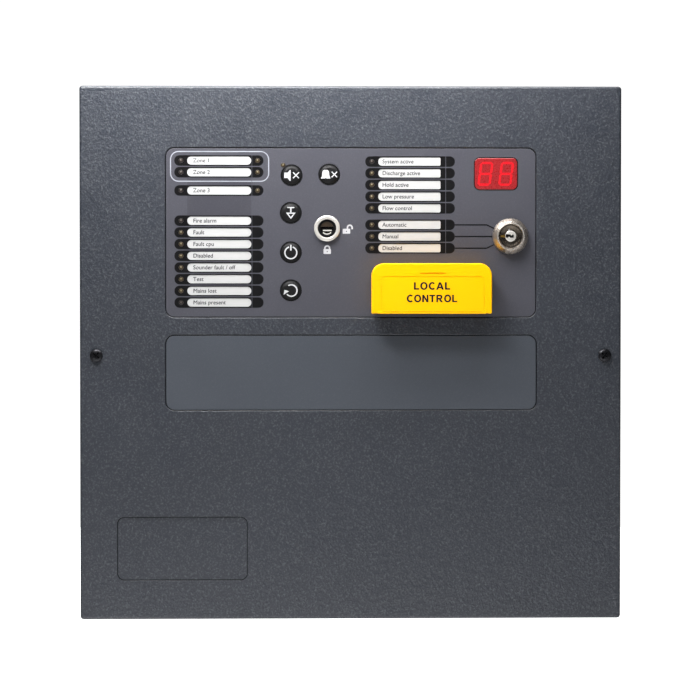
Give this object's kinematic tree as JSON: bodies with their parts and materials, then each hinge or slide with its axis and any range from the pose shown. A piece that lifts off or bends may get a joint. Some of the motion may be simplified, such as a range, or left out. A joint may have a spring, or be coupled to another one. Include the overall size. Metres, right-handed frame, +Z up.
{
  "type": "fire alarm control panel",
  "caption": "Wall-mounted fire alarm and extinguishing panel: steel box and lift-off cover with status lights, display, push buttons, key switches and a flap over a manual button.",
  "frame": {"origin": "centre of the enclosure's back face, on the wall plane", "axes": "+X to the right as seen from the front, +Y into the wall, +Z up; the front face looks along -Y"},
  "size_m": [0.325, 0.102, 0.32],
  "materials": {
    "powder_coat": "anthracite textured powder coat",
    "overlay_film": "satin polyester film",
    "card": "white card",
    "red_lens": "deep red filter",
    "amber_lens": "smoked amber",
    "black_plastic": "semi-gloss black",
    "battery_case": "matt grey battery case",
    "grey_plastic": "matt grey",
    "yellow_plastic": "safety yellow",
    "red_plastic": "red button",
    "green_plastic": "green terminal body",
    "blue_plastic": "blue relay case",
    "circuit_board": "green solder mask",
    "chrome": "polished",
    "zinc": "bright zinc plate",
    "brass": "bright",
    "dark_screw": "black oxide",
    "cable_red": "PVC insulation",
    "cable_black": "PVC insulation",
    "cable_grey": "PVC insulation"
  },
  "bodies": {
    "back_box": {"back_box": "powder_coat", "screw_bracket_left": "zinc", "screw_bracket_right": "zinc", "main_board": "circuit_board", "main_board_standoff_1": "zinc", "main_board_standoff_2": "zinc", "main_board_standoff_3": "zinc", "main_board_standoff_4": "zinc", "terminal_block_1": "green_plastic", "terminal_block_2": "green_plastic", "terminal_block_3": "green_plastic", "relay_1": "blue_plastic", "relay_2": "blue_plastic", "power_supply": "zinc", "mains_terminal_block": "grey_plastic", "earth_stud": "brass", "battery_left": "battery_case", "battery_right": "battery_case", "battery_bar": "zinc", "battery_lead_red": "cable_red", "battery_lead_black": "cable_black", "battery_link_lead": "cable_red", "supply_lead": "cable_black", "mains_lead": "cable_grey", "ribbon_cable": "cable_grey"},
    "front_cover": {"front_cover": "powder_coat", "control_overlay": "overlay_film", "blank_overlay": "overlay_film", "legend_card_left": "card", "legend_card_right": "card", "display_window": "red_lens", "light_guide_status": "amber_lens", "light_guide_zone": "amber_lens", "light_guide_system": "amber_lens", "display_module": "black_plastic", "buzzer": "black_plastic", "mode_switch_block": "black_plastic", "release_switch": "black_plastic", "release_base": "yellow_plastic", "display_board": "circuit_board", "access_lock_body": "chrome", "mode_lock_body": "chrome", "release_hinge_pin": "zinc", "display_board_standoff_1": "zinc", "display_board_standoff_2": "zinc", "display_board_standoff_3": "zinc", "display_board_standoff_4": "zinc", "access_lock_nut": "brass", "mode_lock_nut": "brass", "cover_screw_left": "dark_screw", "cover_screw_right": "dark_screw"},
    "button_mute": {"button_mute": "black_plastic"},
    "button_silence": {"button_silence": "black_plastic"},
    "button_lamp_test": {"button_lamp_test": "black_plastic"},
    "button_power": {"button_power": "black_plastic"},
    "button_reset": {"button_reset": "black_plastic"},
    "access_lock_plug": {"access_lock_plug": "black_plastic"},
    "mode_lock_plug": {"mode_lock_plug": "chrome"},
    "release_button": {"release_button": "red_plastic"},
    "release_flap": {"release_flap": "yellow_plastic"}
  },
  "joints": [
    {"name": "front_cover_lift_off", "type": "slide", "parent": "back_box", "child": "front_cover", "axis": [0, -1, 0], "range_m": [0, 0.12], "deforming": ["ribbon_cable"]},
    {"name": "button_mute_press", "type": "slide", "parent": "front_cover", "child": "button_mute", "axis": [0, 1, 0], "range_m": [0, 0.0012], "stiffness_N_per_m": 600},
    {"name": "button_silence_press", "type": "slide", "parent": "front_cover", "child": "button_silence", "axis": [0, 1, 0], "range_m": [0, 0.0012], "stiffness_N_per_m": 600},
    {"name": "button_lamp_test_press", "type": "slide", "parent": "front_cover", "child": "button_lamp_test", "axis": [0, 1, 0], "range_m": [0, 0.0012], "stiffness_N_per_m": 600},
    {"name": "button_power_press", "type": "slide", "parent": "front_cover", "child": "button_power", "axis": [0, 1, 0], "range_m": [0, 0.0012], "stiffness_N_per_m": 600},
    {"name": "button_reset_press", "type": "slide", "parent": "front_cover", "child": "button_reset", "axis": [0, 1, 0], "range_m": [0, 0.0012], "stiffness_N_per_m": 600},
    {"name": "access_lock_turn", "type": "hinge", "parent": "front_cover", "child": "access_lock_plug", "pos_m": [-0.0144, -0.0877, 0.0747], "axis": [0, -1, 0], "range_deg": [0, 90]},
    {"name": "mode_lock_turn", "type": "hinge", "parent": "front_cover", "child": "mode_lock_plug", "pos_m": [0.0956, -0.0877, 0.0701], "axis": [0, -1, 0], "range_deg": [-45, 45]},
    {"name": "release_button_press", "type": "slide", "parent": "front_cover", "child": "release_button", "axis": [0, 1, 0], "range_m": [0, 0.003], "stiffness_N_per_m": 1200},
    {"name": "release_flap_swing", "type": "hinge", "parent": "front_cover", "child": "release_flap", "pos_m": [0.04785, -0.096, 0.0279], "axis": [1, 0, 0], "range_deg": [0, 100]}
  ]
}
